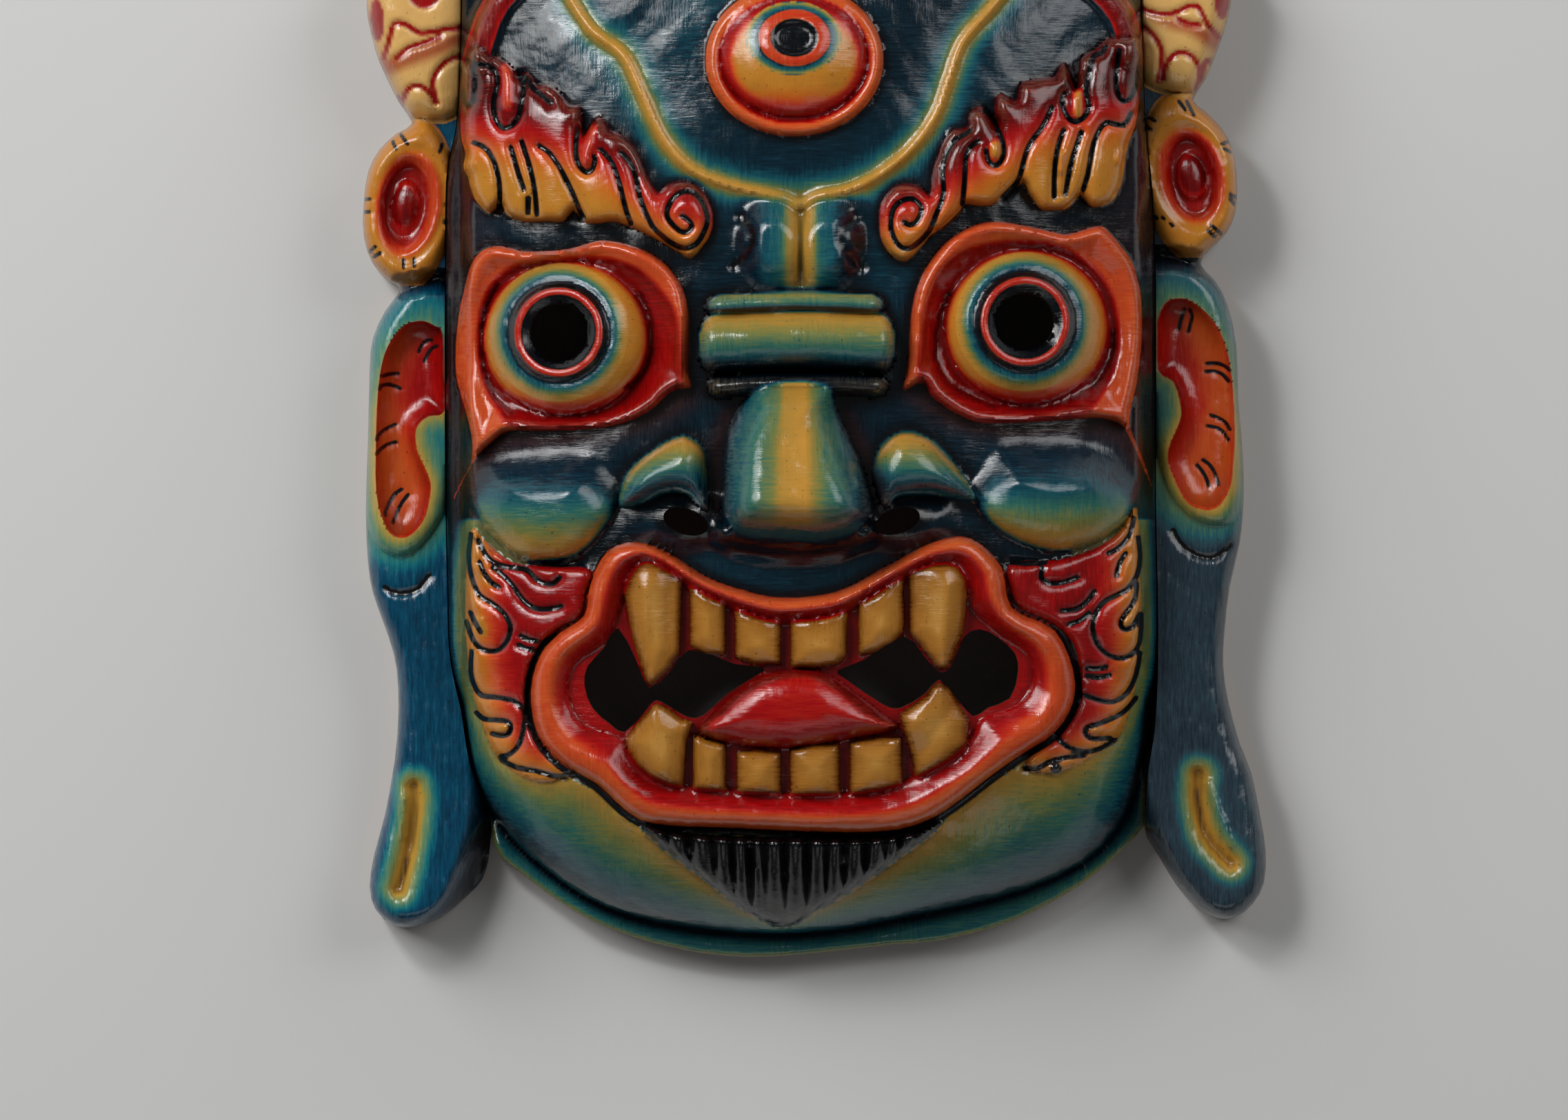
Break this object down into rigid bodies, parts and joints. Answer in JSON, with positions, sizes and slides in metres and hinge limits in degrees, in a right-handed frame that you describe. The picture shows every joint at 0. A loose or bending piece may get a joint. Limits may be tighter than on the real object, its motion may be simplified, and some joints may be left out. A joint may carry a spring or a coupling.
{
  "type": "mahakala mask",
  "caption": "Carved and painted wooden guardian mask, hollow behind, with an open mouth, pierced eyes and a long ear board on each side.",
  "frame": {"origin": "centre of the bounding box in X and Y, on the plane of the back rim that the mask lies on", "axes": "+Z out of the face, +Y towards the crown, +X to the right as seen from the front"},
  "size_m": [0.2816, 0.378, 0.1034],
  "materials": {
    "face_paint": "gloss",
    "left_board_paint": "gloss",
    "right_board_paint": "gloss"
  },
  "bodies": {
    "root": {"face": "face_paint", "left_ear_board": "left_board_paint", "right_ear_board": "right_board_paint"}
  },
  "joints": []
}
